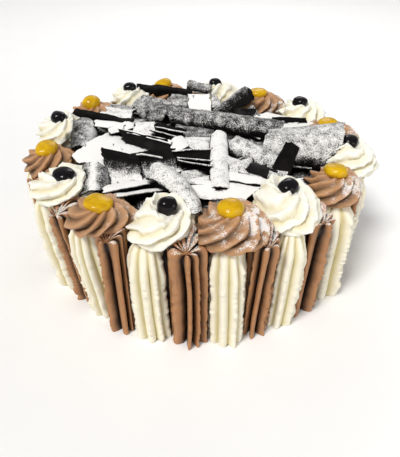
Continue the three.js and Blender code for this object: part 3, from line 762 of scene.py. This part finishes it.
# ---- Cherries ----
def cherry(k):
    """A candied cherry, squarer and lumpier than a ball, in the cup of its rosette."""
    place = ROSETTES[k]
    width, height, tilt = CHERRIES[k]
    random = np.random.default_rng([13, k])
    theta = np.linspace(0, 2 * np.pi, 44, endpoint=False)
    level = np.cos(np.linspace(np.pi, 0, 26)[1:-1])[:, None]
    ring = np.sqrt(1 - level**2)
    ball = stacked(ring * np.cos(theta), ring * np.sin(theta), level)
    power = 2.6  # a ball's power is 2, and a higher one is squarer
    squarer = 1 / (np.abs(ball) ** power).sum(-1, keepdims=True) ** (1 / power)
    ball = ball * (0.45 + 0.55 * squarer)
    dents = 1 + 0.07 * lumps(ball * 10, 9, k) + 0.03 * lumps(ball * 10, 4, k + 5)
    ball = ball * dents[..., None]
    ball /= np.abs(ball).max(axis=(0, 1))
    ball = ball * (width / 2, width / 2 * random.uniform(0.82, 0.95), height / 2)
    ball = turn(ball, random.uniform(-30, 30))
    leaning = Matrix.Rotation(math.radians(tilt), 3, "Y")
    ball = ball @ np.array(leaning).T
    foot = DECK + ROSETTE_HEIGHT - CUP_DEPTH - SUNK
    ball[..., 1] -= place["radius"] + place["lean"]
    ball[..., 2] += foot - ball[..., 2].min()
    return closed_form(turn(ball, place["angle"]))


# ---- Chocolate ----
def curl(
    at, heading, length, radius, wrap, spin, rise=0, taper=1.0, bend=0.0, skew=0.0, dust=1.0, seed=0
):
    """A shaving of chocolate rolled about its own axis: its points, its faces, and the dust on each point.

    at is its middle: the crown of an open shaving, or the axis of a roll. heading is its axis' direction in
    plan, from +X, and rise its slope. wrap is how far round it is rolled, and spin how far it is turned about
    its axis. taper is the far end's size over the near end's, bend how far the axis curves, and skew how
    slanted it is. dust is how much icing sugar lies on it; in a list, the amounts lie side by side across it.
    """
    random = np.random.default_rng([3, seed])
    rolled = wrap > ROLLED
    along_count = max(8, int(length / 1.6))
    round_count = max(6, int(math.radians(wrap) * radius * (1.6 if rolled else 1) / 1.8))
    u = np.linspace(-0.5, 0.5, along_count)[:, None]
    v = np.linspace(-0.5, 0.5, round_count)[None, :]
    walked = v * math.radians(wrap) * radius  # millimetres round the sheet from its middle

    # Its ragged ends and sides, and the drag lines of the blade.
    end_line = stacked(walked, 0 * u, 0 * u)
    torn = lumps(end_line, 2.6, seed) * 2.6 + lumps(end_line, 9, seed + 3) * 4.0
    ends = 1 + torn * (np.abs(u) * 2) ** 3 / length
    side_line = stacked(u * length, 0 * v, 0 * v)
    chipped = lumps(side_line, 7, seed + 5) * 0.14 + lumps(side_line, 2.2, seed + 6) * 0.05
    sides = 1 + chipped * (np.abs(v) * 2) ** 3
    angle = np.radians(v * wrap * sides) + 0 * u
    size = 1 + (taper - 1) * (u + 0.5) + 0.05 * lumps(side_line, 20, seed + 7)
    tighten = SPIRAL_STEP * (v + 0.5) * wrap / 360 if wrap > 360 else 0
    grooves = 0.12 * np.sin(walked * 2.1 + random.uniform(0, 6))
    sheet = stacked(u * length, walked, 0 * u)
    grooves = grooves + lumps(sheet, 8, seed + 9) * 0.5 + lumps(sheet, 2.5, seed + 11) * 0.12

    # The outer face, and then the inner one on the way back, so that each row is a closed ring.
    layers = []
    for depth in (0.0, SHAVING):
        r = radius * size - tighten - depth + grooves
        side, up = np.sin(angle) * r, np.cos(angle) * r
        if not rolled:
            up = up - radius * size
        layers.append(np.stack([u * length * ends + skew * side, side, up], axis=-1))
    outer, inner = layers
    section = np.concatenate([outer, inner[:, ::-1]], axis=1)
    if bend:
        bend_radius = length / math.radians(bend)
        turned = section[..., 0] / bend_radius
        reach = bend_radius + section[..., 1]
        section = stacked(reach * np.sin(turned), reach * np.cos(turned) - bend_radius, section[..., 2])
    placed = (
        Matrix.Rotation(math.radians(heading), 3, "Z")
        @ Matrix.Rotation(math.radians(-rise), 3, "Y")
        @ Matrix.Rotation(math.radians(spin), 3, "X")
    )
    section = section @ np.array(placed).T + np.array(at, float)
    rows, around, _ = section.shape
    faces = [face[::-1] for face in ring_faces(rows, around)]
    for row, flip in ((0, False), (rows - 1, True)):
        first, last = row * around, row * around + around - 1
        for j in range(round_count - 1):
            quad = (first + j, first + j + 1, last - 1 - j, last - j)
            faces.append(quad[::-1] if flip else quad)
    amounts = np.atleast_1d(dust)
    outside = np.interp(np.linspace(0, 1, round_count), np.linspace(0, 1, len(amounts)), amounts)
    return section.reshape(-1, 3), faces, np.tile(np.concatenate([outside, outside[::-1]]), rows)


def heap_height(radius):
    """The height of the heap's core over the cake's top, at a radius from the cake's middle."""
    return HEAP_HEIGHT * np.interp(np.asarray(radius) / HEAP_RADIUS, (0, 0.6, 0.9, 1), (1, 0.95, 0.55, 0))


def heap_core():
    """The low lumpy heap under the shavings, down to just below the cake's top."""
    radii = np.linspace(HEAP_RADIUS, 2, 46)[:, None]
    theta = np.linspace(0, 2 * np.pi, 150, endpoint=False)
    grid = stacked(radii * np.cos(theta), radii * np.sin(theta), DECK + heap_height(radii))
    grid[..., 2] += lumps(grid, 5, 2) * 1.3 + lumps(grid, 13, 4) * 1.2 - 1.5
    skirt = grid[0].copy()
    skirt[:, 2] = DECK - 1
    return closed_form(np.concatenate([skirt[None], grid]))


def flakes():
    """Smaller shavings strewn evenly over the heap."""
    random = np.random.default_rng(23)
    golden = math.radians(137.508)  # turning so far each time spreads them evenly
    made = []
    for i in range(FLAKES):
        out = (HEAP_RADIUS - 3) * math.sqrt((i + 0.5) / FLAKES)
        height = DECK + float(heap_height(out)) + random.uniform(-1.2, 0.8)
        made.append(curl(
            at=(out * math.cos(i * golden), out * math.sin(i * golden), height),
            heading=random.uniform(0, 360),
            rise=random.uniform(-16, 16),
            length=random.uniform(12, 28),
            radius=random.uniform(10, 30),
            wrap=random.uniform(24, 60),
            spin=random.choice([0, 180]) + random.uniform(-38, 38),
            taper=random.uniform(0.4, 1.0),
            skew=random.uniform(-0.4, 0.4),
            dust=random.choice([0.3, 0.5, 0.65, 0.9]),
            seed=200 + i,
        ))
    return made


# ---- Sugar ----
def open_sky(forms):
    """What can keep the sugar off: a tree of all the given forms' faces."""
    points, faces = joined(forms)
    return BVHTree.FromPolygons((points * MM).tolist(), faces)


def sugar_on(form, tree, lowest=0.0):
    """How much icing sugar lies on each point, where 1 is a full cover: most where it faces up and nothing is
    above it, and none below the height lowest."""
    points, faces, *dust = form
    mesh = bpy.data.meshes.new("probe")
    mesh.from_pydata((points * MM).tolist(), [], faces)
    normals = np.zeros(len(points) * 3)
    mesh.vertex_normals.foreach_get("vector", normals)
    normals = normals.reshape(-1, 3)
    bpy.data.meshes.remove(mesh)
    ways = ((0, 0, 1), (0.35, 0.1, 1), (-0.3, 0.25, 1), (-0.1, -0.4, 1))
    fall = [Vector(way).normalized() for way in ways]
    off_surface, reach = 0.0006, 0.05  # metres from a point to where its rays start, and how far they look
    steepest = -0.1  # a point that faces further down than this has none
    amount = np.zeros(len(points))
    for i, (point, normal) in enumerate(zip(points * MM, normals)):
        if normal[2] < steepest or point[2] < lowest * MM:
            continue
        start = Vector(point) + Vector(normal) * off_surface
        clear = sum(tree.ray_cast(start, way, reach)[0] is None for way in fall) / len(fall)
        amount[i] = clear * min(1.0, max(0.0, (normal[2] + 0.2) / 0.6))
    return amount * (dust[0] if dust else 1.0)


def sugar_drift(points):
    """The share of the sugar that each point of a rosette keeps: more on its right, and in patches."""
    to_right = (points[:, 0] - points.mean(axis=0)[0]) / ROSETTE_RADIUS
    drift = np.clip(0.4 + 0.7 * to_right + 0.5 * lumps(points, 15, 8), 0, 1)
    return drift * np.clip(0.75 + lumps(points, 3.5, 18), 0.15, 1)


# ---- Assembly ----
def add(name, form, material, slot, replaced, sharp_angle=None, **attributes):
    """Adds a piece that rides on the cake's body and replaces the part's own nodes."""
    made = mesh_object(name, *form, material, sharp_angle, **attributes)
    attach(made, "root")
    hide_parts(*replaced)


def numbered(name, k):
    return f"{name}_{k + 1:02d}"


def dress_sides(white, brown, sky):
    """Adds the cake's coat and the columns round it; sky is what keeps the sugar off."""
    under = coat()
    # The coat is brown cream at full groove shade: painted shade in the deep gaps between the columns.
    add(
        "coat", under, brown, "white_cream", ["cake_and_white_columns"],
        groove=np.ones(len(under[0])), sugar=np.zeros(len(under[0])),
    )
    for k in range(PAIRS):
        points, faces, deep = column(WHITE_COLUMN, k, False)
        add(
            numbered("piped_white_column", k), (points, faces), white, "white_cream",
            ["cake_and_white_columns"], groove=deep, sugar=0 * deep,
        )
        points, faces, deep = column(BROWN_COLUMN, k, True)
        sugar = sugar_on((points, faces), sky, COLUMN_DUST_STARTS) * COLUMN_DUST
        add(
            numbered("piped_brown_column", k), (points, faces), brown, "brown_cream",
            [numbered("brown_column", k)], groove=deep, sugar=sugar,
        )


def dress_top(white, brown, yellow, dark, chocolate):
    """Adds all that is on the cake's top, and returns it as a tree that keeps the sugar off."""
    rosettes = [rosette(k) for k in range(PAIRS)]
    cherries = [cherry(k) for k in range(PAIRS)]
    curls = {name: curl(seed=i, **spec) for i, (name, spec) in enumerate(BIG_CURLS.items())}
    shards = [curl(seed=40 + i, **spec) for i, spec in enumerate(SHARDS)]
    shavings = joined(shards + flakes())
    core = heap_core()
    sky = open_sky([form[:2] for form in [*rosettes, *cherries, *curls.values(), shavings, core]])

    for k, (points, faces, deep) in enumerate(rosettes):
        kind = "brown" if ROSETTES[k]["brown"] else "white"
        sugar = sugar_on((points, faces), sky) * sugar_drift(points) * ROSETTE_DUST[k]
        add(
            numbered(f"piped_{kind}_rosette", k), (points, faces), brown if kind == "brown" else white,
            f"{kind}_cream", [numbered(f"{kind}_rosette", k)], groove=deep, sugar=sugar,
        )
        fruit = "yellow" if kind == "brown" else "dark"
        add(
            numbered(f"candied_{fruit}_cherry", k), cherries[k], yellow if fruit == "yellow" else dark,
            f"{fruit}_cherry", [numbered(f"{fruit}_cherry", k)],
        )
    for name, form in curls.items():
        sugar = sugar_on(form, sky)
        add(f"dusted_{name}", form[:2], chocolate, "chocolate", [name], SHARP_EDGE, sugar=sugar)
    sugar = sugar_on(shavings, sky)
    add("shavings", shavings[:2], chocolate, "chocolate", ["chocolate_heap"], SHARP_EDGE, sugar=sugar)
    sugar = sugar_on(core, sky) * CORE_DUST
    add("heap_core", core, chocolate, "chocolate", ["chocolate_heap"], sugar=sugar)
    return sky


def lay_floor():
    size = 30000.0
    grid = np.array([[(x, y, -0.2) for x in (-size, size)] for y in (-size, size)]).reshape(-1, 3)
    floor = mesh_object("floor", grid, [(0, 1, 3, 2)], floor_material())


set_camera()
set_light()
lay_floor()
# The last number of each look is the groove depth at which its painted shade is full.
white_look = {"scatter_mm": (2.4, 2.0, 1.4), "full_shade_at": 1.15}
brown_look = {"scatter_mm": (1.2, 0.6, 0.3), "full_shade_at": 0.95}
# Second colours are painted groove shade; the column creams' dimmer ridges are painted shade on the sides.
white_cream = cream("white_cream", rgb(251, 248, 236), rgb(208, 192, 132), **white_look)
shaded_white_column_cream = cream("shaded_white_column_cream", rgb(242, 236, 217), rgb(212, 199, 148), **white_look)
# The brown rosettes' lighter cream is partly fine icing sugar, partly painted light on their upward faces.
brown_cream = cream("brown_cream", rgb(192, 147, 107), rgb(44, 26, 19), **brown_look)
shaded_brown_column_cream = cream("shaded_brown_column_cream", rgb(176, 127, 86), rgb(34, 19, 14), **brown_look)
yellow_cherry = candied_cherry(
    "candied_yellow", rgb(218, 175, 20), rgb(196, 149, 10),
    roughness=0.16, scatter_mm=(4.0, 2.4, 0.5), weight=0.2,
)
dark_cherry = candied_cherry(
    "candied_dark", rgb(16, 12, 15), rgb(8, 6, 8),
    roughness=0.1, scatter_mm=(1.0, 0.3, 0.3), weight=0.0,
)
cake_top = dress_top(white_cream, brown_cream, yellow_cherry, dark_cherry, dark_chocolate())
dress_sides(shaded_white_column_cream, shaded_brown_column_cream, cake_top)
